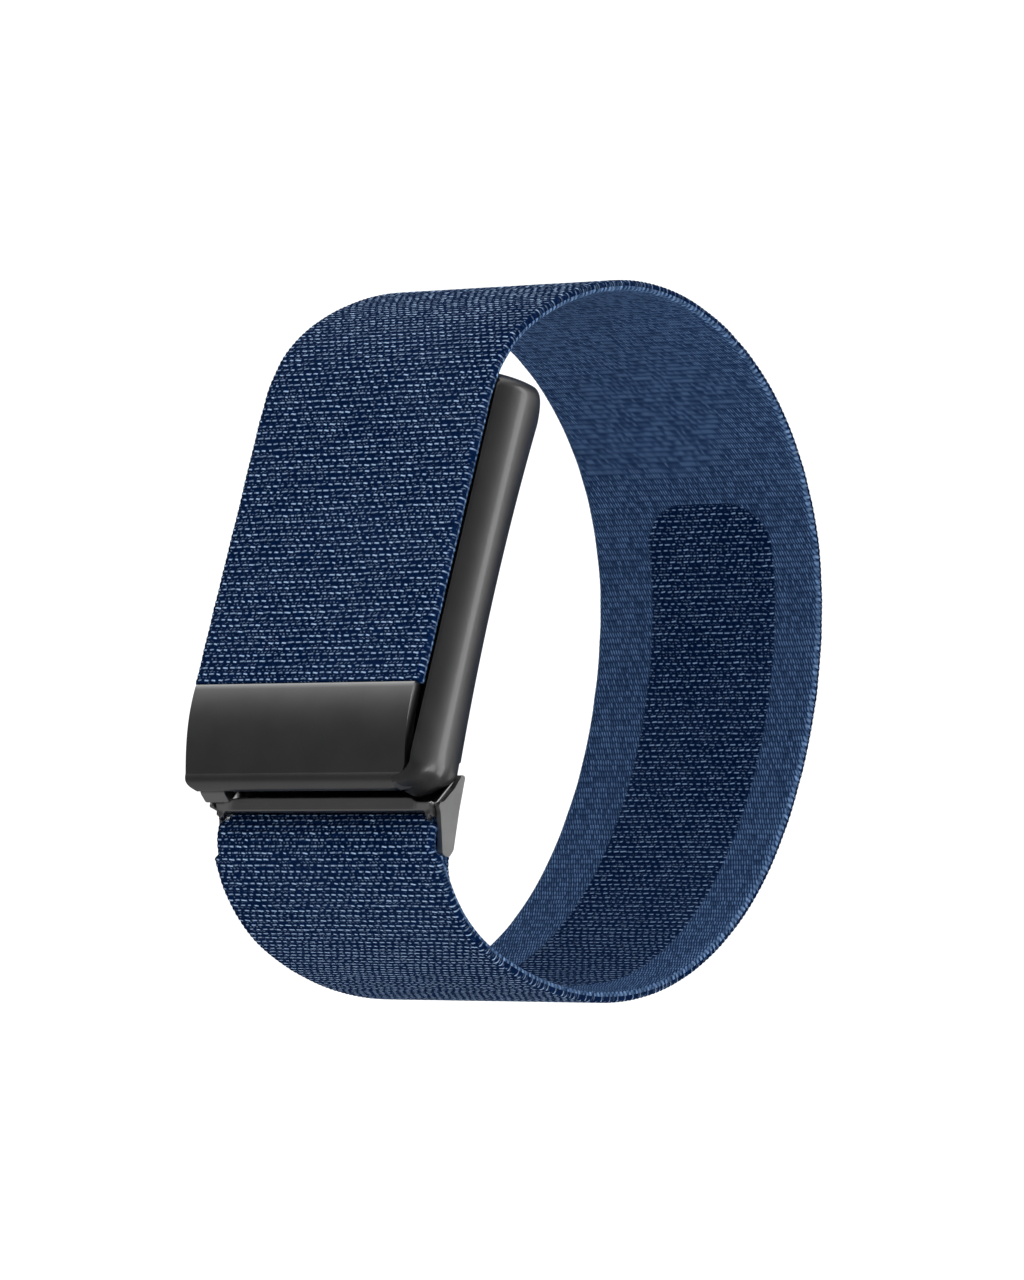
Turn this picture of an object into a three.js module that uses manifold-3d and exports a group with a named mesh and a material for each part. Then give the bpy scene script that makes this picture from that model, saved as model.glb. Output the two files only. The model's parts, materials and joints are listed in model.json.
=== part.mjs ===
// A fitness tracker band: a sensor pod in a carrier, a woven strap and a lever clasp with a buckle frame.
// Millimetres, +Z up. The strap's loop lies in the XZ plane, its width runs along Y, and the origin is at the
// middle of the wrist opening. The pod leans back by POD_TILT: inside its group x points to the wrist, z points
// up along the pod, and x = 0 is the pod's outer face.
import * as THREE from 'three';
import { mergeVertices } from 'three/addons/utils/BufferGeometryUtils.js';
import Module from 'manifold-3d';

const wasm = await Module();
wasm.setup();

// Driving dimensions
const POD_TILT = 20;                            // degrees from vertical
const POD_ORIGIN = [-29.7, 4.5];                // X, Z of the pod group
const POD_HALF_W = 14.2;
const POD_END = [-19.85, 22.9];                 // lower and upper end
const POD_T = [8.5, 0.0025, 4];                 // least thickness, hollowing and z of the curved skin side
const SPLIT = [4.65, 4.75];                     // the two case halves meet here
const STRAP_HALF_W = 13.6;
const STRAP_T = 0.9;
const STRAP_LIFT = 1.25;                        // strap's outer face above the pod's
const STRAP_FIXED_END = -10.8;                  // z of the strap's end above the clasp plate
const STRAP_TURN_Z = 18.2;                      // z where the strap starts to bend round the pod's upper end
const STRAP_ARCS = [                            // outer face from there on: length, turn in degrees
  [10, 40], [14, 22.5], [24, 43], [28, 54], [28, 37], [28, 49.5], [22, 31], [11.6, 40],
];
const FOLD_HALF_W = 12.5;                       // strap width inside the buckle
const FOLD_CLEAR = 0.45;                        // between the fold and the buckle's lower bar
const FOLD_IN = [[1, 3.5], [3, 42]];            // narrowed strap up to that bar: length, turn
const FOLD_TURN = 176;                          // degrees it turns round the bar
const FOLD_BACK = [[1.6, 0], [2, -38], [1.6, -12]];  // then it lies back on itself: length, turn
const BAR_R = 0.6;                              // buckle's lower bar
const HINGE_GAP = 0.3;                          // between the two strap pieces
const LEVER_PIN = [1.35, -19.15];               // clasp plate's pin, pod group
const LEVER_PIN_R = 0.3;
const CURL_R = 1.25;                            // clasp plate rolled round its pin
const PLATE_T = 0.9;
const LUG_Y = [-8, 8];
const LUG_W = 3;
const FRAME_HALF_W = 13.55;
const EAR_W = 0.8;
const MOTOR = [-7.2, -5.2];                     // y, z of the vibration motor's axis

const rad = THREE.MathUtils.degToRad;

// Materials: base colour, roughness, metalness
const material = (color, roughness, metalness = 0) => new THREE.MeshStandardMaterial({ color, roughness, metalness });
const fabric = material(0x23395a, 0.95);
const steel = material(0x5d5f63, 0.34, 1);
const darkSteel = material(0x3c3e42, 0.4, 1);
const spring = material(0x9a9c9f, 0.3, 1);
const shell = material(0x17181b, 0.42);
const gloss = material(0x08090b, 0.08);
const silicone = material(0x1c1d20, 0.8);
const board = material(0x123a22, 0.5);
const chip = material(0x101012, 0.45);
const tin = material(0xb9bcc0, 0.3, 1);
const gold = material(0xd2a647, 0.25, 1);
const pouch = material(0xb4b7ba, 0.35, 0.7);
const led = material(0xd8f2c4, 0.3);
const photodiode = material(0x2a2236, 0.2);
const ceramic = material(0xe8e6df, 0.5);
const film = material(0x6f7478, 0.6);

// --- Outlines -------------------------------------------------------------------------------------------------

const polar = (cx, cz, r, deg) => [cx + r * Math.cos(rad(deg)), cz + r * Math.sin(rad(deg))];

// An arc as a list of points, both ends included.
function arcPoints(cx, cz, r, from, to, steps) {
  return Array.from({ length: steps + 1 }, (_, i) => polar(cx, cz, r, from + ((to - from) * i) / steps));
}

// A polygon from [x, z, radius] corners, each corner rounded when it has a radius.
function rounded(corners, steps = 4) {
  const points = [];
  corners.forEach(([x, z, r = 0], i) => {
    const here = new THREE.Vector2(x, z);
    const before = new THREE.Vector2(...corners.at(i - 1).slice(0, 2)).sub(here).normalize();
    const after = new THREE.Vector2(...corners[(i + 1) % corners.length].slice(0, 2)).sub(here).normalize();
    if (!r) return points.push([x, z]);
    const half = Math.acos(THREE.MathUtils.clamp(before.dot(after), -1, 1)) / 2;
    const middle = before.clone().add(after).normalize().multiplyScalar(r / Math.sin(half)).add(here);
    const start = before.clone().multiplyScalar(r / Math.tan(half)).add(here).sub(middle);
    const end = after.clone().multiplyScalar(r / Math.tan(half)).add(here).sub(middle);
    const turn = Math.atan2(start.cross(end), start.dot(end));
    for (let k = 0; k <= steps; k += 1) {
      const p = start.clone().rotateAround(new THREE.Vector2(), (turn * k) / steps).add(middle);
      points.push([p.x, p.y]);
    }
    return points;
  });
  return points;
}

const rectangle = (x0, z0, x1, z1, r = 0, steps = 4) =>
  rounded([[x0, z0, r], [x1, z0, r], [x1, z1, r], [x0, z1, r]], steps);

// --- Solids ---------------------------------------------------------------------------------------------------

// An XZ outline pulled along Y, a YZ outline pulled along X and an XY outline pulled along Z.
function extrude(outline, from, to, orient) {
  const shape = new THREE.Shape(outline.map(([a, b]) => new THREE.Vector2(a, b)));
  const geometry = new THREE.ExtrudeGeometry(shape, { depth: to - from, bevelEnabled: false });
  geometry.translate(0, 0, from);
  return orient(geometry);
}
const alongY = (outline, y0, y1) => extrude(outline, -y1, -y0, (g) => g.rotateX(Math.PI / 2));
const ontoX = new THREE.Matrix4().set(0, 0, 1, 0, 1, 0, 0, 0, 0, 1, 0, 0, 0, 0, 0, 1);
const alongX = (outline, x0, x1) => extrude(outline, x0, x1, (g) => g.applyMatrix4(ontoX));
const alongZ = (outline, z0, z1) => extrude(outline, z0, z1, (g) => g);

function box(x0, x1, y0, y1, z0, z1) {
  const geometry = new THREE.BoxGeometry(x1 - x0, y1 - y0, z1 - z0);
  return geometry.translate((x0 + x1) / 2, (y0 + y1) / 2, (z0 + z1) / 2);
}

function rodY(x, z, r, y0, y1, sides = 20) {
  return new THREE.CylinderGeometry(r, r, y1 - y0, sides).translate(x, (y0 + y1) / 2, z);
}

function discX(y, z, r, x0, x1, sides = 28) {
  return new THREE.CylinderGeometry(r, r, x1 - x0, sides).rotateZ(Math.PI / 2).translate((x0 + x1) / 2, y, z);
}

// A body of revolution about an axis along X through (y, z); the profile is [radius, x] pairs.
function turned(profile, y, z, sides = 28) {
  const geometry = new THREE.LatheGeometry(profile.map(([r, x]) => new THREE.Vector2(r, x)), sides);
  return geometry.rotateZ(-Math.PI / 2).translate(0, y, z);
}

function toManifold(geometry) {
  const bare = geometry.index ? geometry.toNonIndexed() : geometry.clone();
  bare.deleteAttribute('normal');
  bare.deleteAttribute('uv');
  const merged = mergeVertices(bare, 1e-4);
  return new wasm.Manifold(new wasm.Mesh({
    numProp: 3,
    vertProperties: new Float32Array(merged.attributes.position.array),
    triVerts: new Uint32Array(merged.index.array),
  }));
}

function toGeometry(solid) {
  const mesh = solid.getMesh();
  const geometry = new THREE.BufferGeometry();
  geometry.setAttribute('position', new THREE.BufferAttribute(new Float32Array(mesh.vertProperties), 3));
  geometry.setIndex(new THREE.BufferAttribute(new Uint32Array(mesh.triVerts), 1));
  geometry.computeVertexNormals();
  return geometry;
}

const join = (...parts) => toGeometry(parts.map(toManifold).reduce((a, b) => a.add(b)));
const cut = (base, ...tools) => toGeometry(tools.map(toManifold).reduce((a, b) => a.subtract(b), toManifold(base)));
const common = (...parts) => toGeometry(parts.map(toManifold).reduce((a, b) => a.intersect(b)));

// --- Assembly -------------------------------------------------------------------------------------------------

const group = new THREE.Group();
const podSpace = new THREE.Group();
podSpace.position.set(POD_ORIGIN[0], 0, POD_ORIGIN[1]);
podSpace.rotation.y = rad(POD_TILT);
group.add(podSpace);

function add(name, geometry, mat, parent = podSpace) {
  const mesh = new THREE.Mesh(geometry, mat);
  mesh.name = name;
  parent.add(mesh);
}

const toWorld = (x, z) => {
  const [c, s] = [Math.cos(rad(POD_TILT)), Math.sin(rad(POD_TILT))];
  return [POD_ORIGIN[0] + x * c + z * s, POD_ORIGIN[1] - x * s + z * c];
};

// --- Strap ----------------------------------------------------------------------------------------------------

// Points of the strap's outer face with their headings, walked arc by arc.
function walk(start, heading, arcs, stepLength = 3) {
  let [x, z] = start;
  let h = heading;
  const points = [[x, z, h]];
  for (const [length, turn] of arcs) {
    const steps = Math.ceil(length / stepLength);
    for (let i = 0; i < steps; i += 1) {
      h -= turn / steps / 2;
      [x, z] = polar(x, z, length / steps, h);
      h -= turn / steps / 2;
      points.push([x, z, h]);
    }
  }
  return points;
}

// A closed outline between the outer face and the face STRAP_T inside it (to the right of the heading).
function band(points, thickness = STRAP_T) {
  const inner = points.map(([x, z, h]) => polar(x, z, thickness, h - 90));
  return [...points.map(([x, z]) => [x, z]), ...inner.reverse()];
}

const upHeading = 90 - POD_TILT;
const strapTurn = toWorld(-STRAP_LIFT, STRAP_TURN_Z);
const upperStart = toWorld(-STRAP_LIFT, STRAP_FIXED_END);
add('strap_upper', alongY(
  band([[...upperStart, upHeading], [...polar(...strapTurn, HINGE_GAP / 2, upHeading + 180), upHeading]]),
  -STRAP_HALF_W, STRAP_HALF_W), fabric, group);

const loop = walk(polar(...strapTurn, HINGE_GAP / 2, upHeading), upHeading, STRAP_ARCS);
const [wideX, wideZ, wideHeading] = loop.at(-1);
const foldIn = walk([wideX, wideZ], wideHeading, FOLD_IN, 1);
const [endX, endZ, endHeading] = foldIn.at(-1);
const foldR = STRAP_T + FOLD_CLEAR + BAR_R;
const bar = polar(endX, endZ, foldR, endHeading - 90);
const fold = walk([endX, endZ], endHeading, [[foldR * rad(FOLD_TURN), FOLD_TURN], ...FOLD_BACK], 0.7);
add('strap_lower', join(
  alongY(band(loop), -STRAP_HALF_W, STRAP_HALF_W),
  alongY(band([loop.at(-2), ...foldIn, ...fold.slice(1)]), -FOLD_HALF_W, FOLD_HALF_W)), fabric, group);

// --- Pod outline ----------------------------------------------------------------------------------------------

const [podLow, podHigh] = POD_END;
const skinX = (z, out = 0) => POD_T[0] + POD_T[1] * (z - POD_T[2]) ** 2 + out;
const skinCurve = (z0, z1, out, steps = 8) => Array.from({ length: steps + 1 }, (_, i) => {
  const z = z0 + ((z1 - z0) * i) / steps;
  return [skinX(z, out), z];
});
const podSide = rounded([
  [0, podLow, 2.6], [5.6, podLow, 1.6], [9.0, -14.0, 1.2], ...skinCurve(-12, 19, 0),
  [9.25, podHigh, 2.2], [0, 20.8, 1.2],
], 5);
const podPlan = rectangle(-POD_HALF_W, podLow, POD_HALF_W, podHigh, 3.2, 5);
const podSection = rounded([
  [0, -POD_HALF_W, 0.8], [5.3, -POD_HALF_W, 2.6], [9.5, -11.1, 1.4],
  [9.5, 11.1, 1.4], [5.3, POD_HALF_W, 2.6], [0, POD_HALF_W, 0.8],
], 4);
const podHull = common(
  alongY(podSide, -POD_HALF_W - 1, POD_HALF_W + 1),
  alongX(podPlan, -1, 11),
  alongZ(podSection, podLow - 1, podHigh + 1));

// Recess for the carrier and the clasp plate, T slots for the rails and the catch groove of the buckle, all open
// at +Y, the side the pod leaves the carrier from.
const Y_OUT = POD_HALF_W + 2;
const recess = alongY([[-2, 19.0], [0.65, 19.0], [0.65, -10.7], [2.9, -17.6], [3.2, -21], [-2, -21]], -13.75, Y_OUT);
const tSlot = (x, z, clear) => alongY([
  [x - 1.2, z - 0.5 - clear], [x, z - 0.5 - clear], [x, z - 1.1 - clear], [x + 0.6 + clear, z - 1.1 - clear],
  [x + 0.6 + clear, z + 1.1 + clear], [x, z + 1.1 + clear], [x, z + 0.5 + clear], [x - 1.2, z + 0.5 + clear],
], -13.2 - clear, clear ? Y_OUT : 13.2);
const RAIL_UPPER = [1.35, 17.0];
const RAIL_LOWER = [3.25, -16.8];
const catchGroove = alongY([[6.3, -17.65], [10, -17.65], [10, -14.2], [6.3, -16.2]], -12.8, Y_OUT);

// --- Pod cases ------------------------------------------------------------------------------------------------

const plan = (halfY, z0, z1, r) => rectangle(-halfY, z0, halfY, z1, r, 3);
const cavityOuter = alongX(plan(12.4, -9.7, 15.3, 2), 1.3, 2.8);
const cavityMiddle = alongX(plan(12.4, -14.4, 19.8, 2), 2.6, 5.9);
const cavityInner = alongX(plan(10.8, -12.4, 17.8, 2), 5.8, 7.3);
const gasketSeat = (clear) => cut(
  alongX(plan(13.5 + clear, -15.5 - clear, 20.9 + clear, 2.6), 4.25 - clear, 5.15 + clear),
  alongX(plan(12.9 - clear, -14.9 + clear, 20.3 - clear, 2.2), 3, 6));
const contactHoles = [-5.6, 5.6].map((y) => discX(y, -8.4, 0.95, 7, 11, 16));

add('case_outer', cut(
  common(podHull, box(-1, SPLIT[0], -20, 20, -30, 30)),
  cavityOuter, cavityMiddle, recess, tSlot(...RAIL_UPPER, 0.15), tSlot(...RAIL_LOWER, 0.15), gasketSeat(0.1)), shell);
add('case_wrist', cut(
  common(podHull, box(SPLIT[1], 20, -20, 20, -30, 30)),
  cavityMiddle, cavityInner, catchGroove, gasketSeat(0.1),
  alongX(plan(9.2, -4.2, 15.2, 2), 7, 11),
  common(
    alongX(plan(11.2, -11.2, 18.2, 3.2), 6, 11),
    alongY([...skinCurve(-13, 20, -0.75), [12, 20], [12, -13]], -13, 13)),
  ...contactHoles), shell);
add('case_gasket', gasketSeat(0), silicone);

// Glossy cover on the skin side, with two charging contacts let into it.
add('skin_cover', cut(
  common(
    alongX(plan(11.05, -11.05, 18.05, 3.1), 7, 11),
    alongY([...skinCurve(-13, 20, -0.6), ...skinCurve(-13, 20, 0.55).reverse()], -13, 13)),
  ...contactHoles), gloss);
for (const [name, y] of [['charge_contact_left', -5.6], ['charge_contact_right', 5.6]]) {
  add(name, turned([[0, 5.8], [1.5, 5.8], [1.5, 6.4], [0.8, 6.4], [0.8, 9.35], [0, 9.35]], y, -8.4, 16), gold);
}

// --- Pod inside -----------------------------------------------------------------------------------------------

add('main_board', cut(
  alongX(plan(12.1, -14.1, 19.5, 1.8), 5.0, 5.6),
  discX(-10.4, 17.8, 0.75, 4, 7, 12), discX(10.4, 17.8, 0.75, 4, 7, 12)), board);
for (const [name, y] of [['board_screw_left', -10.4], ['board_screw_right', 10.4]]) {
  add(name, turned([[0, 3.7], [1.3, 3.7], [1.3, 4.85], [0.6, 4.85], [0.6, 5.75], [0, 5.75]], y, 17.8, 12), darkSteel);
}
add('battery', alongX(plan(8.9, -0.6, 15.0, 1.2), 1.6, 3.8), pouch);
add('battery_pad', box(3.95, 4.4, -7.5, 7.5, 0.5, 13.5), film);
add('battery_connector', join(box(4.2, 4.85, -11.6, -9.3, 0.2, 3.4), box(3.8, 4.25, -11.2, -9.7, 1.0, 2.6)), chip);
add('shield_can', cut(box(3.0, 4.85, -1.6, 10.8, -13.4, -3.6), box(3.25, 6, -1.3, 10.5, -13.1, -3.9)), tin);
add('processor', box(3.9, 4.85, 0.6, 6.0, -11.2, -5.8), chip);
add('memory_chip', box(4.1, 4.85, 6.8, 9.8, -8.4, -4.6), chip);
add('crystal', box(4.2, 4.85, 7.2, 9.4, -12.4, -10.8), tin);
add('motion_sensor', box(4.1, 4.85, -11.6, -9.4, 5.0, 7.7), chip);
add('antenna', join(box(3.2, 4.3, 10.0, 11.6, 2.0, 14.0), box(4.2, 4.85, 10.3, 11.2, 2.4, 3.8)), ceramic);

// Optical sensor: its own board, a barrier that keeps the channels apart, emitter and light receivers.
add('sensor_board', box(6.1, 6.4, -8.6, 8.6, -3.6, 14.6), board);
const cells = [[0, 5.5, 1.5], [0, -0.6, 1.7], [0, 11.6, 1.7], [-5.6, 5.5, 1.7], [5.6, 5.5, 1.7]];
add('optical_barrier', cut(
  alongX(plan(8.4, -3.4, 14.4, 1.6), 6.5, 7.65),
  ...cells.map(([y, z, r]) => discX(y, z, r + 0.3, 6, 9, 20))), silicone);
cells.forEach(([y, z, r], i) => {
  const name = i === 0 ? 'emitter' : `light_receiver_${i}`;
  const half = r * 0.66;
  add(name, box(6.5, 7.1, y - half, y + half, z - half, z + half), i === 0 ? led : photodiode);
});

// Coin vibration motor with its eccentric rotor.
const [motorY, motorZ] = MOTOR;
add('motor_case', turned([
  [0, 1.5], [4.2, 1.5], [4.2, 4.1], [3.95, 4.1], [3.95, 1.75], [0.75, 1.75], [0.75, 2.1], [0, 2.1],
], motorY, motorZ), tin);
add('motor_base', turned([[0, 4.2], [4.2, 4.2], [4.2, 4.45], [0, 4.45]], motorY, motorZ), tin);
add('motor_shaft', discX(motorY, motorZ, 0.35, 2.2, 4.1, 12), spring);
const halfDisc = [[1.1, 0.6], ...arcPoints(0, 0, 3.6, 170, 370, 16)];
add('motor_rotor', cut(
  join(alongX(halfDisc.map(([a, b]) => [a + motorY, b + motorZ]), 2.4, 3.7), discX(motorY, motorZ, 1.1, 2.4, 3.7, 20)),
  discX(motorY, motorZ, 0.4, 2, 4.2, 16)), darkSteel);

// --- Carrier --------------------------------------------------------------------------------------------------

const carrierSheet = [[0.05, 18.4], [0.05, -10.6], [2.05, -17.4], [2.5, -17.4], [0.5, -10.65], [0.5, 18.4]];
const [pinX, pinZ] = LEVER_PIN;
const lug = (y) => join(
  rodY(pinX, pinZ, 0.8, y - LUG_W / 2, y + LUG_W / 2, 16),
  alongY([[2.0, -17.1], [pinX + 0.2, pinZ], [pinX + 0.78, pinZ], [2.5, -17.3]], y - LUG_W / 2, y + LUG_W / 2));
const padPocket = (z) => box(-1, 0.7, -6, 6, z - 1.6, z + 1.6);
add('carrier', cut(
  join(alongY(carrierSheet, -13.2, 13.2), tSlot(...RAIL_UPPER, 0), tSlot(...RAIL_LOWER, 0), ...LUG_Y.map(lug)),
  padPocket(12), padPocket(-6), rodY(pinX, pinZ, LEVER_PIN_R + 0.06, -20, 20, 16)), darkSteel);
for (const [name, z] of [['carrier_pad_upper', 12], ['carrier_pad_lower', -6]]) {
  add(name, box(0.1, 0.55, -5.8, 5.8, z - 1.4, z + 1.4), silicone);
}
add('strap_bond', box(-0.28, -0.03, -12, 12, -10.4, 17.4), film);

// --- Clasp plate ----------------------------------------------------------------------------------------------

// Gently bowed sheet whose lower edge is rolled round the pin.
const plateTop = [-1.15, -11.1];
const bow = (t) => 0.38 * Math.sin(Math.PI * t);
const plateSide = (offset, steps = 8) => Array.from({ length: steps + 1 }, (_, i) => {
  const t = i / steps;
  return [plateTop[0] + (pinX - CURL_R - plateTop[0]) * t - bow(t) + offset, plateTop[1] + (pinZ - plateTop[1]) * t];
});
const plateOutline = [...plateSide(0), ...plateSide(PLATE_T).reverse()];
const lugRoom = (y) => [
  rodY(pinX, pinZ, 0.92, y - LUG_W / 2 - 0.2, y + LUG_W / 2 + 0.2, 16),
  alongY([[pinX, pinZ], ...arcPoints(pinX, pinZ, 1.9, -60, 92, 8)], y - LUG_W / 2 - 0.2, y + LUG_W / 2 + 0.2),
];
add('clasp_plate', cut(
  join(alongY(plateOutline, -13.2, 13.2), rodY(pinX, pinZ, CURL_R, -13.2, 13.2, 24)),
  rodY(pinX, pinZ, LEVER_PIN_R + 0.06, -20, 20, 16), ...LUG_Y.flatMap(lugRoom)), steel);
add('lever_pin', rodY(pinX, pinZ, LEVER_PIN_R, -13, 13, 12), spring);
add('lever_cushion', alongY([[-0.1, -12.3], [0.2, -12.3], [0.9, -15.2], [0.15, -15.2]], -9, 9), silicone);

// --- Buckle frame ---------------------------------------------------------------------------------------------

const c = Math.cos(rad(POD_TILT));
const s = Math.sin(rad(POD_TILT));
const barX = (bar[0] - POD_ORIGIN[0]) * c - (bar[1] - POD_ORIGIN[1]) * s;
const barZ = (bar[0] - POD_ORIGIN[0]) * s + (bar[1] - POD_ORIGIN[1]) * c;
const upperBar = [[5.2, -20.2], [5.45, -21.15], [6.1, -21.15], [6.75, -20.1], [8.45, -18.1], [8.3, -16.5],
  [7.9, -16.6], [5.85, -20.1]];
const nose = [[6.6, -17.35], [7.3, -17.35], [7.3, -17.9], [8.4, -17.9], [8.3, -16.2], [7.9, -16.1], [6.6, -16.6]];
const ear = [[5.2, -20.2], [5.45, -21.15], [7.5, -24.3], [7.8, -24.5], [8.6, -24.5], [8.95, -24.1], [8.45, -19.7], [8.3, -16.5],
  [7.9, -16.6], [5.85, -20.1]];
add('clasp_frame', join(
  alongY(upperBar, -FRAME_HALF_W, FRAME_HALF_W),
  alongY(nose, -12.4, 12.4),
  alongY(ear, -FRAME_HALF_W, EAR_W - FRAME_HALF_W), alongY(ear, FRAME_HALF_W - EAR_W, FRAME_HALF_W),
  rodY(barX, barZ, BAR_R, EAR_W / 2 - FRAME_HALF_W, FRAME_HALF_W - EAR_W / 2, 20)), steel);

export default group;
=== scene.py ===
import json
import math

import bmesh
import bpy
import numpy as np
from mathutils import Matrix, Vector


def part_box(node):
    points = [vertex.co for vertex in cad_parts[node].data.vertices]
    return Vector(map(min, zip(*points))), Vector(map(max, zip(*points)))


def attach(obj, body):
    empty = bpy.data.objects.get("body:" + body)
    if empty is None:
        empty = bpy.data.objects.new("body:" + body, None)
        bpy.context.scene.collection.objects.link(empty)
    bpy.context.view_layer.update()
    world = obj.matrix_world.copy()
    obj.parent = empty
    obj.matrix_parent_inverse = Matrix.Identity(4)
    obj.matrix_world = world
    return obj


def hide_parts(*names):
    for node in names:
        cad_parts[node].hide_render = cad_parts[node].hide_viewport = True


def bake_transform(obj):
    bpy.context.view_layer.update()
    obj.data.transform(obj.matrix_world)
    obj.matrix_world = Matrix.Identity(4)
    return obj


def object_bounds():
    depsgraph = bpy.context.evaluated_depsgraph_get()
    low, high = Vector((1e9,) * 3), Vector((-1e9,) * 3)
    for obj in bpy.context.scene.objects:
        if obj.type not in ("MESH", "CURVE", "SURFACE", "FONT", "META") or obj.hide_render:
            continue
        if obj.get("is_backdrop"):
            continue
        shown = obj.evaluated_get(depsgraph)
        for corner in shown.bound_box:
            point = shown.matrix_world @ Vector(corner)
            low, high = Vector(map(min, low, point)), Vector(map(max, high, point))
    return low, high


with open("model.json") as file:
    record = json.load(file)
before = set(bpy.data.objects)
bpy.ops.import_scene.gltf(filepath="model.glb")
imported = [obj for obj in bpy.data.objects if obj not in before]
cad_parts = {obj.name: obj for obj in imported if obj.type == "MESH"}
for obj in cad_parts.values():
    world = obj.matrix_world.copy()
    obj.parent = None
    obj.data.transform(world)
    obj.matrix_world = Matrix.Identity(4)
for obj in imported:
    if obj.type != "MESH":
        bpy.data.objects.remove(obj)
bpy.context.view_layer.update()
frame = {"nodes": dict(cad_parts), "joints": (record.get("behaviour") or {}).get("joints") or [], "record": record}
MM = 0.001
nodes = frame["nodes"]
joints = {j["name"]: j for j in frame["joints"]}

# ---------------------------------------------------------------- the pod's own axes
# Inside the pod's plane x points to the wrist and z up along the pod, in millimetres, as in the CAD.
spin_axis = joints["motor_spin"]["axis"]
TILT = math.atan2(-spin_axis[2], spin_axis[0])
COS, SIN = math.cos(TILT), math.sin(TILT)
PIN = (1.35, -19.15)                      # the clasp plate's pin, in those axes
pin_world = joints["lever_lift"]["pos_m"]
ORIGIN = (pin_world[0] / MM - PIN[0] * COS - PIN[1] * SIN,
          pin_world[2] / MM + PIN[0] * SIN - PIN[1] * COS)
POD_MATRIX = Matrix(((COS * MM, 0, SIN * MM, ORIGIN[0] * MM),
                     (0, MM, 0, 0),
                     (-SIN * MM, 0, COS * MM, ORIGIN[1] * MM),
                     (0, 0, 0, 1)))
POD_HALF_W = -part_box("case_outer")[0].y / MM
PLATE_HALF_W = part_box("clasp_plate")[1].y / MM
FRAME_HALF_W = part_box("clasp_frame")[1].y / MM
STRAP_HALF_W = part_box("strap_lower")[1].y / MM


def to_world(x, z):
    return ORIGIN[0] + x * COS + z * SIN, ORIGIN[1] - x * SIN + z * COS


def to_pod(x, z):
    dx, dz = x - ORIGIN[0], z - ORIGIN[1]
    return dx * COS - dz * SIN, dx * SIN + dz * COS


bar_world = joints["frame_pivot"]["pos_m"]
BAR = to_pod(bar_world[0] / MM, bar_world[2] / MM)

# ---------------------------------------------------------------- node helpers


class Nodes:
    """A short way to write node trees."""

    def __init__(self, tree):
        self.tree = tree

    def new(self, kind, **inputs):
        node = self.tree.nodes.new(kind)
        for key, value in inputs.items():
            if key in ("operation", "noise_dimensions", "attribute_name"):
                setattr(node, key, value)
                continue
            socket = node.inputs[int(key[1:])] if key[0] == "i" and key[1:].isdigit() else node.inputs[key]
            if isinstance(value, bpy.types.NodeSocket):
                self.tree.links.new(value, socket)
            else:
                socket.default_value = value
        return node

    def math(self, operation, a, b=0.0):
        return self.new("ShaderNodeMath", operation=operation, i0=a, i1=b).outputs[0]

    def add(self, a, b):
        return self.math("ADD", a, b)

    def sub(self, a, b):
        return self.math("SUBTRACT", a, b)

    def mul(self, a, b):
        return self.math("MULTIPLY", a, b)

    def smooth(self, value, low, high):
        """0 below low, 1 above high, smooth between; high may be the smaller one."""
        node = self.tree.nodes.new("ShaderNodeMapRange")
        node.interpolation_type = "SMOOTHSTEP"
        self.tree.links.new(value, node.inputs[0])
        for i, v in enumerate((low, high)):
            if isinstance(v, bpy.types.NodeSocket):
                self.tree.links.new(v, node.inputs[1 + i])
            else:
                node.inputs[1 + i].default_value = v
        return node.outputs[0]

    def combine(self, x, y, z=0.0):
        return self.new("ShaderNodeCombineXYZ", i0=x, i1=y, i2=z).outputs[0]

    def noise(self, vector, scale, detail=2.0, rough=0.5):
        node = self.new("ShaderNodeTexNoise", Vector=vector, Scale=scale, Detail=detail, Roughness=rough)
        return node.outputs[0]

    def white(self, x, y, z=0.0):
        node = self.new("ShaderNodeTexWhiteNoise", noise_dimensions="3D", Vector=self.combine(x, y, z))
        return node.outputs[0]

    def mix(self, factor, a, b):
        node = self.tree.nodes.new("ShaderNodeMix")
        node.data_type = "RGBA"
        for socket, value in ((node.inputs[0], factor), (node.inputs[6], a), (node.inputs[7], b)):
            if isinstance(value, bpy.types.NodeSocket):
                self.tree.links.new(value, socket)
            elif isinstance(value, tuple) and len(value) == 3:
                socket.default_value = (*value, 1)
            else:
                socket.default_value = value
        return node.outputs[2]

    def bump(self, height, distance, strength):
        return self.new("ShaderNodeBump", Height=height, Distance=distance, Strength=strength).outputs[0]


def srgb(*rgb):
    return tuple(((c / 255 + 0.055) / 1.055) ** 2.4 if c > 10.3 else c / 255 / 12.92 for c in rgb)


def material(name, **values):
    mat = bpy.data.materials.new(name)
    mat.use_nodes = True
    shader = mat.node_tree.nodes["Principled BSDF"]
    for key, value in values.items():
        shader.inputs[key.replace("_", " ")].default_value = value
    return mat, Nodes(mat.node_tree), shader


def link(n, value, shader, socket):
    n.tree.links.new(value, shader.inputs[socket])


def object_mm(n):
    """The surface point in the piece's own space, in millimetres."""
    coords = n.new("ShaderNodeTexCoord").outputs["Object"]
    scale = n.new("ShaderNodeVectorMath", operation="SCALE", i0=coords)
    scale.inputs["Scale"].default_value = 1000
    return scale.outputs[0]


PATCH = 0.35                              # slow colour changes per millimetre of a worn finish


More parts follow.
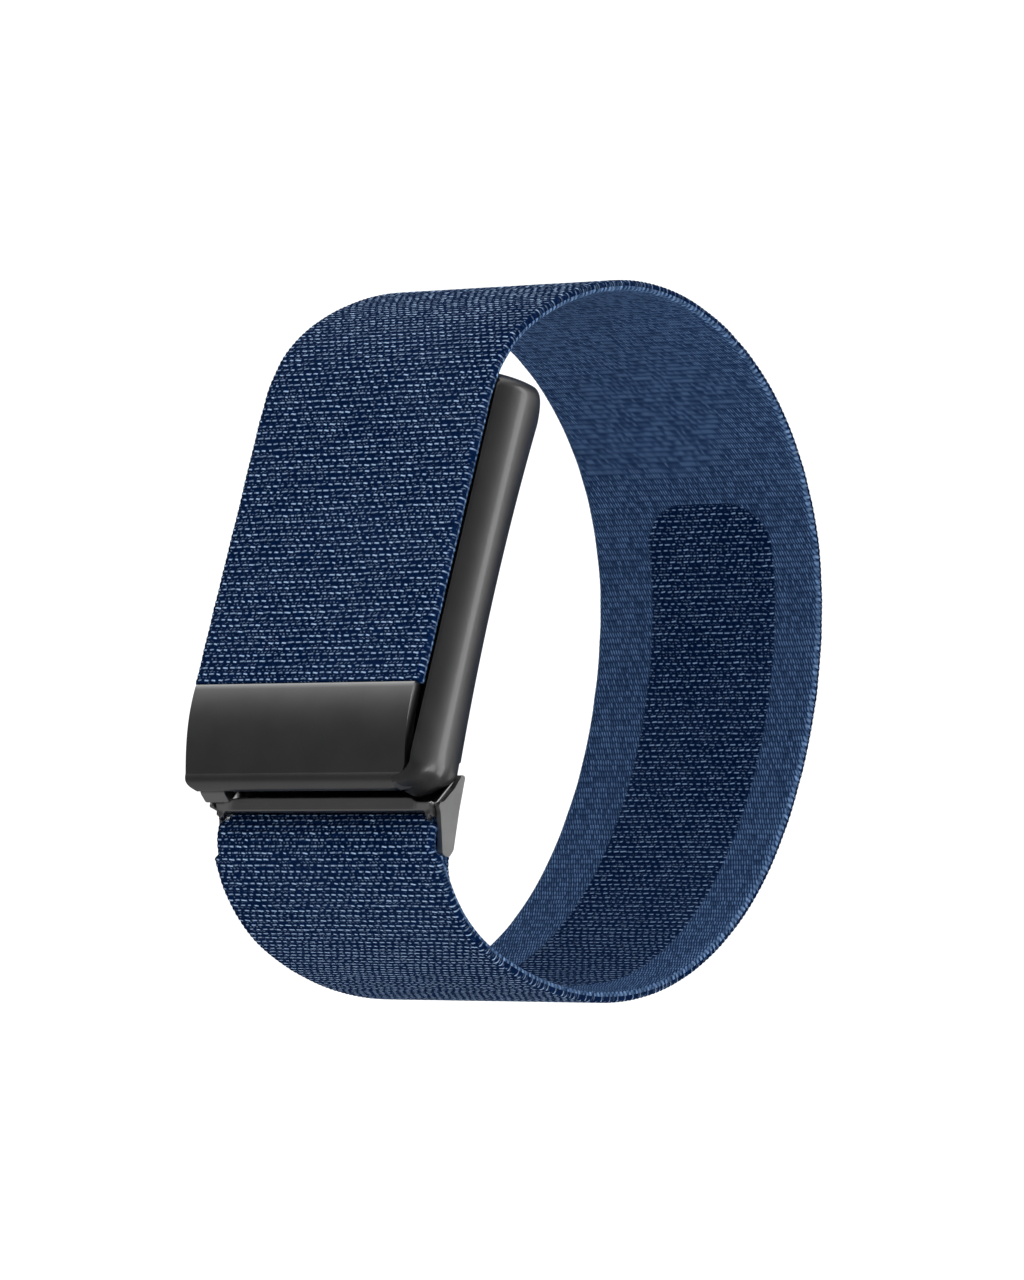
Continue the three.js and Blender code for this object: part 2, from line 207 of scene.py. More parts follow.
def worn(name, base, light, metallic, rough, grain, bump, rough_spread=0.06, coat=0.0, stretch=(1, 1, 1)):
    """A finish with fine grain, slow colour change and a little wear along edges."""
    mat, n, shader = material(name, Metallic=metallic)
    if coat:
        shader.inputs["Coat Weight"].default_value = coat
        shader.inputs["Coat Roughness"].default_value = 0.08
    p = object_mm(n)
    stretched = n.new("ShaderNodeVectorMath", operation="MULTIPLY", i0=p, i1=stretch).outputs[0]
    fine = n.noise(stretched, grain, 3.0, 0.6)
    slow = n.noise(p, PATCH, 3.0, 0.55)
    edge = n.new("ShaderNodeNewGeometry").outputs["Pointiness"]
    rub = n.smooth(n.add(edge, n.mul(n.sub(slow, 0.5), 0.06)), 0.53, 0.62)
    tone = n.mix(n.smooth(slow, 0.3, 0.7), base, tuple(0.75 * a + 0.25 * b for a, b in zip(base, light)))
    tone = n.mix(n.mul(n.smooth(fine, 0.45, 0.75), 0.35), tone, light)
    link(n, n.mix(n.mul(rub, 0.3), tone, light), shader, "Base Color")
    link(n, n.add(rough, n.mul(n.sub(n.add(fine, slow), 1.0), rough_spread)), shader, "Roughness")
    link(n, n.bump(fine, bump * MM, 0.6), shader, "Normal")
    return mat


# ---------------------------------------------------------------- mesh helpers


def new_object(name, verts, faces, mat):
    mesh = bpy.data.meshes.new(name)
    mesh.from_pydata([tuple(v) for v in verts], [], [tuple(f) for f in faces])
    mesh.validate()
    obj = bpy.data.objects.new(name, mesh)
    bpy.context.scene.collection.objects.link(obj)
    mesh.materials.append(mat)
    mesh.polygons.foreach_set("use_smooth", [True] * len(mesh.polygons))
    return obj


def fix_normals(obj):
    bm = bmesh.new()
    bm.from_mesh(obj.data)
    bmesh.ops.recalc_face_normals(bm, faces=bm.faces)
    bm.to_mesh(obj.data)
    bm.free()
    return obj


def prism(name, outline, y0, y1, mat, steps=1):
    """An outline in the pod's x and z, pulled along Y. In millimetres."""
    rows = [y0 + (y1 - y0) * i / steps for i in range(steps + 1)]
    count = len(outline)
    verts = [(x, y, z) for y in rows for x, z in outline]
    faces = []
    for i in range(steps):
        a, b = i * count, (i + 1) * count
        faces += [(a + k, a + (k + 1) % count, b + (k + 1) % count, b + k) for k in range(count)]
    faces += [tuple(range(count))[::-1], tuple(steps * count + k for k in range(count))]
    return fix_normals(new_object(name, verts, faces, mat))


def prism_x(name, outline, x0, x1, mat):
    """An outline in y and z, pulled along x."""
    count = len(outline)
    verts = [(x, y, z) for x in (x0, x1) for y, z in outline]
    faces = [(k, (k + 1) % count, count + (k + 1) % count, count + k) for k in range(count)]
    faces += [tuple(range(count)), tuple(count + k for k in range(count))[::-1]]
    return fix_normals(new_object(name, verts, faces, mat))


def arc(cx, cz, r, start, end, steps):
    return [(cx + r * math.cos(math.radians(start + (end - start) * i / steps)),
             cz + r * math.sin(math.radians(start + (end - start) * i / steps))) for i in range(steps + 1)]


def rounded(corners, steps=6):
    """A closed outline from (x, z, radius) corners."""
    out = []
    for i, (x, z, r) in enumerate(corners):
        if not r:
            out.append((x, z))
            continue
        here = Vector((x, z))
        a = (Vector(corners[i - 1][:2]) - here).normalized()
        b = (Vector(corners[(i + 1) % len(corners)][:2]) - here).normalized()
        half = math.acos(max(-1, min(1, a.dot(b)))) / 2
        centre = here + (a + b).normalized() * (r / math.sin(half))
        start, end = here + a * (r / math.tan(half)) - centre, here + b * (r / math.tan(half)) - centre
        turn = math.atan2(start.x * end.y - start.y * end.x, start.dot(end))
        for k in range(steps + 1):
            t = turn * k / steps
            out.append((centre.x + start.x * math.cos(t) - start.y * math.sin(t),
                        centre.y + start.x * math.sin(t) + start.y * math.cos(t)))
    return out


def smooth_step(t):
    t = min(1.0, max(0.0, t))
    return t * t * (3 - 2 * t)


def apply_modifiers(obj):
    mesh = bpy.data.meshes.new_from_object(obj.evaluated_get(bpy.context.evaluated_depsgraph_get()))
    obj.modifiers.clear()
    obj.data = mesh
    return obj


def boolean(obj, tools, operation="DIFFERENCE"):
    for tool in tools:
        mod = obj.modifiers.new("cut", "BOOLEAN")
        mod.operation, mod.solver, mod.object = operation, "EXACT", tool
    bpy.context.view_layer.update()
    apply_modifiers(obj)
    for tool in tools:
        bpy.data.objects.remove(tool)
    return obj


def soften(obj, width, segments, angle):
    """Rounded edges, with each broad face kept flat in the shading."""
    bevel = obj.modifiers.new("edges", "BEVEL")
    bevel.width, bevel.segments = width, segments
    bevel.limit_method, bevel.angle_limit = "ANGLE", math.radians(angle)
    bpy.context.view_layer.update()
    apply_modifiers(obj)
    shade(obj, 50)
    weigh = obj.modifiers.new("weigh", "WEIGHTED_NORMAL")
    weigh.keep_sharp = True
    bpy.context.view_layer.update()
    return apply_modifiers(obj)


def shade(obj, angle):
    obj.data.polygons.foreach_set("use_smooth", [True] * len(obj.data.polygons))
    obj.data.set_sharp_from_angle(angle=math.radians(angle))
    return obj


def fuse(name, parts, voxel, smooth_steps, keep, mat):
    """Several overlapping solids as one soft-edged casting."""
    bpy.ops.object.select_all(action="DESELECT")
    for part in parts:
        part.select_set(True)
    bpy.context.view_layer.objects.active = parts[0]
    bpy.ops.object.join()
    obj = parts[0]
    obj.name = obj.data.name = name
    remesh = obj.modifiers.new("remesh", "REMESH")
    remesh.mode, remesh.voxel_size, remesh.use_smooth_shade = "VOXEL", voxel, True
    soft = obj.modifiers.new("soft", "SMOOTH")
    soft.factor, soft.iterations = 0.5, smooth_steps
    obj.modifiers.new("thin", "DECIMATE").ratio = keep
    bpy.context.view_layer.update()
    apply_modifiers(obj)
    obj.data.materials.clear()
    obj.data.materials.append(mat)
    obj.data.polygons.foreach_set("use_smooth", [True] * len(obj.data.polygons))
    return obj


def place(obj, body, replaced=()):
    """From the pod's axes in millimetres to the frame's axes in metres, then onto its body."""
    obj.data.transform(POD_MATRIX)
    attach(obj, body)
    if replaced:
        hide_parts(*replaced)


# ---------------------------------------------------------------- camera, floor and lights

VIEW = math.radians(52)
RISE = math.radians(1.59)                 # the camera looks up a little
ROLL = math.radians(0.37)
CAMERA_AT = (-0.5771, -0.4431, -0.0260)
forward = Vector((math.sin(VIEW) * math.cos(RISE), math.cos(VIEW) * math.cos(RISE), math.sin(RISE)))
flat_right = Vector((math.cos(VIEW), -math.sin(VIEW), 0))
flat_up = flat_right.cross(forward)
right = math.cos(ROLL) * flat_right + math.sin(ROLL) * flat_up
up = -math.sin(ROLL) * flat_right + math.cos(ROLL) * flat_up
camera_data = bpy.data.cameras.new("camera")
camera_data.sensor_width, camera_data.lens = 36, 210.6
camera_data.shift_x, camera_data.shift_y = 0.0353, 0.0466
camera_data.clip_start = 0.01
camera = bpy.data.objects.new("camera", camera_data)
bpy.context.scene.collection.objects.link(camera)
camera.matrix_world = Matrix((
    (right.x, up.x, -forward.x, CAMERA_AT[0]),
    (right.y, up.y, -forward.y, CAMERA_AT[1]),
    (right.z, up.z, -forward.z, CAMERA_AT[2]),
    (0, 0, 0, 1)))
bpy.context.scene.camera = camera
bpy.context.scene.view_settings.view_transform = "Standard"

floor_mat, n, shader = material("floor_paint", Roughness=0.7)
tone = n.noise(n.new("ShaderNodeTexCoord").outputs["Object"], 3.0, 4.0)
link(n, n.mix(tone, (0.86, 0.86, 0.86, 1), (0.9, 0.9, 0.9, 1)), shader, "Base Color")
FLOOR_Z, FLOOR_HALF = -0.30, 1.2
floor_corners = [(x * FLOOR_HALF, y * FLOOR_HALF, FLOOR_Z) for x, y in ((-1, -1), (1, -1), (1, 1), (-1, 1))]
floor = new_object("floor", floor_corners, [(0, 1, 2, 3)], floor_mat)
floor.visible_glossy = False
floor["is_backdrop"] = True

# A white backdrop all round that only the camera sees, so the lights alone shape the reflections.
bpy.ops.mesh.primitive_uv_sphere_add(segments=48, ring_count=24, radius=4)
backdrop = bpy.context.object
backdrop.name = "backdrop"
back_mat = bpy.data.materials.new("backdrop_white")
back_mat.use_nodes = True
back_nodes = back_mat.node_tree
back_nodes.nodes.clear()
glow = back_nodes.nodes.new("ShaderNodeEmission")
glow.inputs["Strength"].default_value = 1.15
back_nodes.links.new(glow.outputs[0], back_nodes.nodes.new("ShaderNodeOutputMaterial").inputs[0])
backdrop.data.materials.append(back_mat)
for ray in ("diffuse", "glossy", "transmission", "shadow"):
    setattr(backdrop, "visible_" + ray, False)
backdrop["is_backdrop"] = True

world = bpy.data.worlds.new("studio")
bpy.context.scene.world = world
world.use_nodes = True
w = Nodes(world.node_tree)
background = world.node_tree.nodes["Background"]
direction = w.new("ShaderNodeTexCoord").outputs["Generated"]
height = w.new("ShaderNodeSeparateXYZ", Vector=direction).outputs[2]


def glow_toward(toward, outer, inner, level):
    """Extra light from round one direction, nothing past outer, as cosines."""
    dot = w.new("ShaderNodeVectorMath", operation="DOT_PRODUCT", i0=direction, i1=toward).outputs["Value"]
    return w.mul(w.smooth(dot, outer, inner), level)


ROOM_LEVEL = 0.10
dome = w.add(ROOM_LEVEL, w.mul(w.smooth(height, 0.44, 0.80), 1.9))
dome = w.add(dome, w.mul(w.smooth(height, -0.2, -0.6), 0.17))
dome = w.add(dome, glow_toward((0.79, -0.615, 0.0), 0.72, 0.95, 0.10))
world.node_tree.links.new(w.combine(dome, dome, dome), background.inputs["Color"])


def light(name, place_at, target, size, power, glossy=True):
    """An area light of that width and height, aimed at the target."""
    data = bpy.data.lights.new(name, "AREA")
    data.shape = "RECTANGLE"
    data.size, data.size_y = size
    data.energy = power
    obj = bpy.data.objects.new(name, data)
    bpy.context.scene.collection.objects.link(obj)
    obj.location = place_at
    obj.rotation_euler = (Vector(target) - Vector(place_at)).to_track_quat("-Z", "Y").to_euler()
    obj.visible_glossy = glossy


light("front_fill", (-0.60, -0.50, 0.2), (0, 0, 0), (0.5, 0.5), 1.75, glossy=False)
light("side_strip", (0.70, -0.39, -0.02), (0, 0, 0), (0.16, 0.8), 2.2)
light("inner_fill", (-0.25, -0.6, 0.0), (0.02, 0, 0), (0.4, 0.4), 1.3, glossy=False)

# ---------------------------------------------------------------- strap: its path

STRAP_T = 1.0                             # outer and inner layer together
OUTER_PROUD = 0.06                        # the woven face stands this far above the CAD strap's
FOLD_HALF_W = 12.1                        # inside the buckle's frame
ROW = 0.62                                # one woven row along the strap
GRID_W = 27.2                             # the columns of the strap's mesh are spaced over this width
EDGE_ROUND = 0.34                         # how far the strap's edges round off
RISE_PER_ROW = 0.085                      # how far a rib stands above the groove beside it
STRAP_START = (-1.25, -10.57)
STRAIGHT = 28.77                          # along the pod up to the hinge
# length and turn in degrees: over the top, down the back, along the bottom, to the buckle and round its bar
ARCS = [(10, 40), (14, 22.5), (24, 43), (28, 54), (28, 37), (28, 49.5), (22, 31), (12.6, 43.5), (3, 42),
        (5.99, 176), (1.6, 0), (2, -38), (1.6, -12)]
STEP = 0.05
FOLD_FROM = STRAIGHT + sum(a[0] for a in ARCS[:7])


def strap_path():
    """World x, z and heading of the strap's outer face every STEP along it."""
    turns = [0.0] * round(STRAIGHT / STEP)
    for length, turn in ARCS:
        count = round(length / STEP)
        turns += [math.radians(turn) / count] * count
    turns = np.array(turns)
    fold_from = round(FOLD_FROM / STEP)
    reach = 1.6                           # bends ease into each other over this distance
    kernel = np.exp(-0.5 * (np.arange(-60, 61) * STEP / reach) ** 2)
    kernel /= kernel.sum()
    eased = np.convolve(turns, kernel, "same")
    blend = np.clip((np.arange(len(turns)) - fold_from) * STEP / 6.0, 0, 1)
    turns = eased * (1 - blend) + turns * blend
    heading = math.pi / 2 - TILT - np.cumsum(turns)
    mid = heading + turns / 2
    x0, z0 = to_world(*STRAP_START)
    x = x0 + np.concatenate([[0], np.cumsum(STEP * np.cos(mid))])
    z = z0 + np.concatenate([[0], np.cumsum(STEP * np.sin(mid))])
    return x, z, np.concatenate([[math.pi / 2 - TILT], heading])


path_x, path_z, path_h = strap_path()
PATH_LENGTH = (len(path_x) - 1) * STEP
LOOP_END = FOLD_FROM + 4.0
NECK_HALF_W = 13.0                       # between the buckle's two arms
RETURN_HALF_W = 12.6                      # the end folded back inside the loop


def half_width(s):
    """Half the strap's width along it: full on the loop, less between the arms and least inside the frame."""
    x, z = to_pod(path_x, path_z)
    past = np.arange(len(path_x)) * STEP > LOOP_END
    half = np.where(past & (z > -24.9) & (x < 12), NECK_HALF_W, STRAP_HALF_W)
    reached = np.cumsum(past & (x < BAR[0]) & (z > -24)) > 0
    turned = np.cumsum(reached & (x > BAR[0])) > 0
    half = np.where(turned, np.where(z > -22.6, FOLD_HALF_W, RETURN_HALF_W), half)
    half = np.where(past & (z > -21.7) & (x < 8.75), FOLD_HALF_W, half)
    kernel = np.hanning(17)
    eased = np.convolve(np.pad(half, 8, "edge"), kernel / kernel.sum(), "valid")
    return np.interp(s / STEP, np.arange(len(eased)), eased)


def on_path(s, depth):
    """The point that far along the strap and that deep below its outer face."""
    i = np.clip(s / STEP, 0, len(path_x) - 1)
    index = np.arange(len(path_x))
    x, z, h = (np.interp(i, index, a) for a in (path_x, path_z, path_h))
    return x + depth * np.sin(h), z - depth * np.cos(h)


def wave(x, seed, size):
    """A smooth random curve through x, the same one each run."""
    values = np.random.default_rng(seed).uniform(-1, 1, 4096)
    t = x / size + 50
    i = np.floor(t).astype(int)
    f = t - i
    f = f * f * (3 - 2 * f)
    return values[i % 4096] * (1 - f) + values[(i + 1) % 4096] * f


def wave2(x, y, seed, size):
    """A smooth random height over x and y."""
    values = np.random.default_rng(seed).uniform(-1, 1, (512, 512))
    tx, ty = x / size + 20, y / size + 20
    i, j = np.floor(tx).astype(int), np.floor(ty).astype(int)
    fx, fy = tx - i, ty - j
    fx, fy = fx * fx * (3 - 2 * fx), fy * fy * (3 - 2 * fy)
    a, b = values[i % 512, j % 512], values[(i + 1) % 512, j % 512]
    c, d = values[i % 512, (j + 1) % 512], values[(i + 1) % 512, (j + 1) % 512]
    return (a * (1 - fx) + b * fx) * (1 - fy) + (c * (1 - fx) + d * fx) * fy


MEDALLION = (94.0, 158.0, -0.8, 7.6, 5.0)  # from, to, middle, half-width, corner radius


def medallion_inside(s, y):
    """Signed distance in from the medallion's edge, above 0 inside."""
    s0, s1, mid, half, r = MEDALLION
    dx = np.abs(s - (s0 + s1) / 2) - (s1 - s0) / 2 + r
    dy = np.abs(y - mid) - half + r
    outside = np.hypot(np.maximum(dx, 0), np.maximum(dy, 0)) + np.minimum(np.maximum(dx, dy), 0)
    return r - outside


def strap_layer(name, outer, mat):
    """One face of the double-woven strap: a fine grid with its real ribs, closed by a plain back."""
    rows_per = 7 if outer else 6
    ds = ROW / rows_per
    count_s = int(PATH_LENGTH / ds)
    s = np.arange(count_s + 1) * PATH_LENGTH / count_s
    edge = np.array([0.0, 0.12, 0.35, 0.7])
    inner_y = np.linspace(1.15, GRID_W - 1.15, 30 if outer else 26)
    across = np.concatenate([edge, inner_y, GRID_W - edge[::-1]]) / (GRID_W / 2) - 1      # -1 to 1
    half = half_width(s) + 0.04 * wave(s, 3, 1.9)
    y = half[:, None] * across[None, :]
    ss = s[:, None] + 0 * y
    row = ss / ROW + 0.07 * wave2(ss, y, 5, 9.0) + 0.03 * wave2(ss, y, 6, 2.2)
    rib = 0.5 - 0.5 * np.cos(2 * math.pi * row)
    rib = rib ** 0.8
    strength = 1.0 + 0.10 * wave2(ss, y, 8, 1.4)
    if not outer:
        mark = np.clip(medallion_inside(ss, y) / 0.35 + 0.5, 0, 1)
        strength = strength * (0.25 + 0.75 * mark)
    relief = RISE_PER_ROW * (rib * strength - 0.5) + 0.006 * wave2(ss, y, 9, 3.5)
    from_edge = (half[:, None] - np.abs(y))
    shoulder = np.sqrt(np.clip(1 - (1 - np.clip(from_edge / 0.45, 0, 1)) ** 2, 0, 1))
    drop = EDGE_ROUND * (1 - shoulder)
    end = PATH_LENGTH - ss
    end_shoulder = np.sqrt(np.clip(1 - (1 - np.clip(end / 0.4, 0, 1)) ** 2, 0, 1))
    drop = np.maximum(drop, EDGE_ROUND * (1 - end_shoulder))
    if outer:
        depth = -OUTER_PROUD - relief + drop
        back = np.full(count_s + 1, STRAP_T / 2 - 0.02)
    else:
        depth = STRAP_T + relief - drop
        back = np.full(count_s + 1, STRAP_T / 2)
    x, z = on_path(ss, depth)
    ny = y.shape[1]
    front = np.stack([x, y, z], axis=-1).reshape(-1, 3)
    backs = []
    for side in (0, -1):
        bx, bz = on_path(s, back)
        backs.append(np.stack([bx, y[:, side], bz], axis=-1))
    verts = np.concatenate([front, backs[0], backs[1]]) * MM
    base0, base1 = len(front), len(front) + count_s + 1
    i = np.arange(count_s)[:, None]
    j = np.arange(ny - 1)[None, :]
    corner = i * ny + j
    quads = np.stack([corner, corner + 1, corner + ny + 1, corner + ny], axis=-1).reshape(-1, 4)
    k = np.arange(count_s)
    rim0 = np.stack([base0 + k, k * ny, (k + 1) * ny, base0 + k + 1], axis=-1)
    rim1 = np.stack([k * ny + ny - 1, base1 + k, base1 + k + 1, (k + 1) * ny + ny - 1], axis=-1)
    rear = np.stack([base1 + k, base0 + k, base0 + k + 1, base1 + k + 1], axis=-1)
    faces = [tuple(f) for f in np.concatenate([quads, rim0, rim1, rear]).tolist()]
    faces.append(tuple([base0] + [base1] + list(range(ny - 1, -1, -1))))
    last = count_s * ny
    faces.append(tuple([base1 + count_s, base0 + count_s] + list(range(last, last + ny))))
    obj = new_object(name, verts, faces, mat)
    cloth = obj.data.attributes.new("cloth", "FLOAT_VECTOR", "POINT")
    values = np.zeros((len(verts), 3), np.float32)
    values[:len(front), 0] = row.reshape(-1)
    values[:len(front), 1] = y.reshape(-1)
    values[:len(front), 2] = 1.0 if outer else (medallion_inside(ss, y)).reshape(-1)
    for start, side in ((base0, 0), (base1, -1)):
        values[start:start + count_s + 1, 0] = row[:, side]
        values[start:start + count_s + 1, 1] = y[:, side]
        values[start:start + count_s + 1, 2] = 1.0 if outer else -5.0
    cloth.data.foreach_set("vector", values.reshape(-1))
    fix_normals(obj)
    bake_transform(obj)
    return obj


DASH_W, SPECK_W, STRAND_W = 0.84, 0.42, 0.31     # one dash, speck or strand across the strap


def fabric_material(name, plain):
    """Woven rows of dashes over dark ground, the dashes' whitish brightness a painted glint of the threads, or
    with plain the flatter inner weave beside them.
    """
    mat, n, shader = material(name, Sheen_Weight=0.0, Specular_IOR_Level=0.02)
    split = n.new("ShaderNodeSeparateXYZ",
                  Vector=n.new("ShaderNodeAttribute", attribute_name="cloth").outputs["Vector"]).outputs
    row, y, mark = split[0], split[1], split[2]
    warp = n.mul(n.sub(n.noise(n.combine(row, y), 0.9, 2.0), 0.5), 0.5)
    row_index = n.math("FLOOR", row)
    row_part = n.math("FRACT", row)
    shift = n.white(row_index, 3.0)
    alternate = n.math("FRACT", n.mul(row_index, 0.5))
    u = n.add(n.add(n.mul(y, 1 / DASH_W), warp), n.add(alternate, n.mul(shift, 0.45)))
    cell, part = n.math("FLOOR", u), n.math("FRACT", u)
    luck = n.white(cell, row_index)
    luck2 = n.white(cell, row_index, 7.0)
    half_length = n.add(0.19, n.mul(luck, 0.18))
    off_u = n.math("ABSOLUTE", n.sub(part, 0.5))
    bend = n.mul(n.math("SINE", n.mul(part, 6.283)), n.mul(n.sub(luck2, 0.5), 0.10))
    off_v = n.math("ABSOLUTE", n.add(n.sub(row_part, 0.5), n.add(bend, n.mul(n.sub(luck2, 0.5), 0.14))))
    dash = n.mul(n.smooth(n.sub(off_u, half_length), 0.08, -0.10), n.smooth(off_v, 0.18, 0.04))
    dash = n.mul(dash, n.add(0.34, n.mul(luck2, 0.6)))
    # small stitches between the rows
    su = n.add(n.mul(y, 1 / SPECK_W), n.add(n.mul(n.white(row_index, 9.0), 3.0), warp))
    sv = n.add(n.mul(row, 2.0), 0.5)
    spot_cell, spot_row = n.math("FLOOR", su), n.math("FLOOR", sv)
    chance = n.white(spot_cell, spot_row, 2.0)
    off_su = n.math("ABSOLUTE", n.sub(n.math("FRACT", su), n.add(0.3, n.mul(chance, 0.4))))
    off_sv = n.math("ABSOLUTE", n.sub(n.math("FRACT", sv), 0.5))
    spot = n.mul(n.smooth(off_su, 0.30, 0.08), n.smooth(off_sv, 0.36, 0.1))
    spot = n.mul(spot, n.mul(n.smooth(chance, 0.3, 0.95), 0.30))
    strands = n.noise(n.combine(n.mul(row, 1.3), n.mul(y, 7.0)), 1.0, 3.0, 0.7)
    # painted glint: the dashes and specks are the weave's real threads, and their whitish brightness is the
    # threads' glint painted into the colour instead of a sheen from the lamps
    thread_glint = n.mul(n.math("MAXIMUM", dash, spot), n.smooth(n.math("ABSOLUTE", y), 13.75, 13.4))
    dark = n.mix(n.smooth(strands, 0.35, 0.75), srgb(0, 13, 40), srgb(0, 28, 67))
    ribbed = n.mix(thread_glint, dark, srgb(164, 193, 228))
    # the flatter inner weave: short strands along the strap
    lean = n.add(n.mul(y, 1 / STRAND_W), n.mul(row_part, 0.9))
    slant = n.add(lean, n.add(n.mul(n.white(row_index, 5.0), 0.6), warp))
    strand = n.math("ABSOLUTE", n.sub(n.math("FRACT", slant), 0.5))
    strand_luck = n.white(n.math("FLOOR", slant), row_index, 4.0)
    off_row = n.math("ABSOLUTE", n.add(n.sub(row_part, 0.5), n.mul(n.sub(strand_luck, 0.5), 0.3)))
    in_row = n.smooth(off_row, 0.5, 0.15)
    fleck = n.mul(n.smooth(strand, 0.44, 0.10), n.add(0.35, n.mul(in_row, 0.65)))
    fleck = n.mul(fleck, n.add(0.30, n.mul(strand_luck, 0.85)))
    flat = n.mix(fleck, srgb(12, 32, 62), srgb(84, 112, 152))
    # tighter bright stitches along both edges
    side = n.smooth(n.math("ABSOLUTE", y), 13.2, 13.5)
    stitch = n.smooth(n.math("ABSOLUTE", n.sub(n.math("FRACT", n.add(row, n.mul(y, 0.8))), 0.5)), 0.34, 0.12)
    stitch = n.mul(n.mul(stitch, side), n.add(0.05, n.mul(n.white(row_index, 6.0), 0.3)))
    flat = n.mix(stitch, flat, srgb(150, 184, 224))
    if plain:
        # the same painted thread glint, a little weaker, on the medallion's ribs
        ribbed = n.mix(n.mul(thread_glint, 0.85), dark, srgb(150, 182, 222))
        inside = n.smooth(mark, -0.15, 0.15)
        colour = n.mix(inside, flat, ribbed)
        lift = n.add(n.mul(thread_glint, inside), n.mul(n.mul(fleck, 0.5), n.sub(1.0, inside)))
    else:
        colour, lift = ribbed, thread_glint
    slow = n.noise(n.combine(row, n.mul(y, 1.5)), 0.06, 3.0)
    colour = n.mix(n.smooth(slow, 0.3, 0.75), colour, n.mix(0.02, colour, srgb(90, 120, 170)))
    link(n, colour, shader, "Base Color")
    link(n, n.sub(0.86, n.mul(lift, 0.22)), shader, "Roughness")
    thread = n.bump(n.add(lift, n.mul(strands, 0.25)), 0.06 * MM, 0.9)
    link(n, thread, shader, "Normal")
    return mat


outer_fabric = fabric_material("woven_outer", False)
inner_fabric = fabric_material("woven_inner", True)
strap_outer = strap_layer("strap_outer_layer", True, outer_fabric)
strap_inner = strap_layer("strap_inner_layer", False, inner_fabric)
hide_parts("strap_lower")
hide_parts("strap_upper")

# ---------------------------------------------------------------- metal and plastic finishes
# name, base, light, metallic, roughness, grain per millimetre, bump in millimetres
gunmetal = worn("gunmetal", (0.19, 0.19, 0.192), (0.27, 0.27, 0.272), 1.0, 0.33, 26.0, 0.002)
# painted light: a lighter copy of the plate's gunmetal, so that the buckle's frame, its arms and the block beside
# them look more brightly lit than the plate
gunmetal_painted_light = worn("gunmetal_painted_light", (0.37, 0.37, 0.373), (0.45, 0.45, 0.452), 1.0, 0.36, 20.0, 0.002)
case_black = worn("case_black", (0.008, 0.008, 0.0088), (0.02, 0.02, 0.0215), 0.0, 0.36, 30.0, 0.0012,
                  coat=0.15)
cover_gloss = worn("cover_gloss", (0.004, 0.004, 0.005), (0.012, 0.012, 0.014), 0.0, 0.12, 6.0, 0.0002,
                   rough_spread=0.05, coat=0.6)

# ---------------------------------------------------------------- clasp plate
PLATE_TOP = (-1.42, -10.62)
PLATE_T = 1.15
TOP_R = 0.28                              # the plate's rounded top edge
CURL_R = 1.25                             # the plate curls round its pin
LUG_Y = (-8.0, 8.0)                       # the carrier's lugs reach through the curl at these places
LUG_ROOM = 1.7                            # half the width of the opening for each lug
BEYOND = 16                               # cutters reach past the part's sides


def plate_side(offset):
    """The plate's gently curved side from its top to beside the pin."""
    steps = 40
    out = []
    for i in range(steps + 1):
        t = i / steps
        x = PLATE_TOP[0] + (PIN[0] - CURL_R - PLATE_TOP[0]) * t ** 1.5 - 0.28 * math.sin(math.pi * t)
        out.append((x + offset, PLATE_TOP[1] + (PIN[1] - PLATE_TOP[1]) * t))
    return out


outer_side = plate_side(0)
inner_side = [p for p in plate_side(PLATE_T)[::-1] if math.dist(p, PIN) > CURL_R * 1.02]
start_angle = math.degrees(math.atan2(inner_side[0][1] - PIN[1], inner_side[0][0] - PIN[0]))
curl = arc(*PIN, CURL_R, 183, 360 + start_angle - 6, 30)
top_round = arc(PLATE_TOP[0] + TOP_R, PLATE_TOP[1] - TOP_R, TOP_R, 90, 180, 5)
top_corner = (inner_side[-1][0] - 0.02, PLATE_TOP[1])
plate_outline = top_round + outer_side[2:] + curl + inner_side[:-1] + [top_corner]
plate = prism("clasp_plate_cover", plate_outline, -PLATE_HALF_W, PLATE_HALF_W, gunmetal)
cutters = [prism("pin_hole", arc(*PIN, 0.36, 0, 360, 24)[:-1], -13.1, 13.1, gunmetal)]
for y in LUG_Y:
    for outline in (arc(*PIN, 0.92, 0, 360, 28)[:-1], [PIN] + arc(*PIN, 1.9, -60, 92, 12)):
        cutters.append(prism("lug_room", outline, y - LUG_ROOM, y + LUG_ROOM, gunmetal))
for side, r in ((-1, 2.4), (1, 0.8)):     # the plate's low corners are rounded, the near one the most
    cy, cz = side * (PLATE_HALF_W - r), PIN[1] - CURL_R + r
    edge = [(cy - side * y, cz + z) for y, z in arc(0, 0, r, 180, 270, 12)]
    outside = [(cy, cz - r - 2), (side * BEYOND, cz - r - 2), (side * BEYOND, cz)]
    cutters.append(prism_x("corner", edge + outside, -4, 4, gunmetal))
boolean(plate, cutters)
soften(plate, 0.22, 4, 40)
place(plate, "lever", ("clasp_plate",))

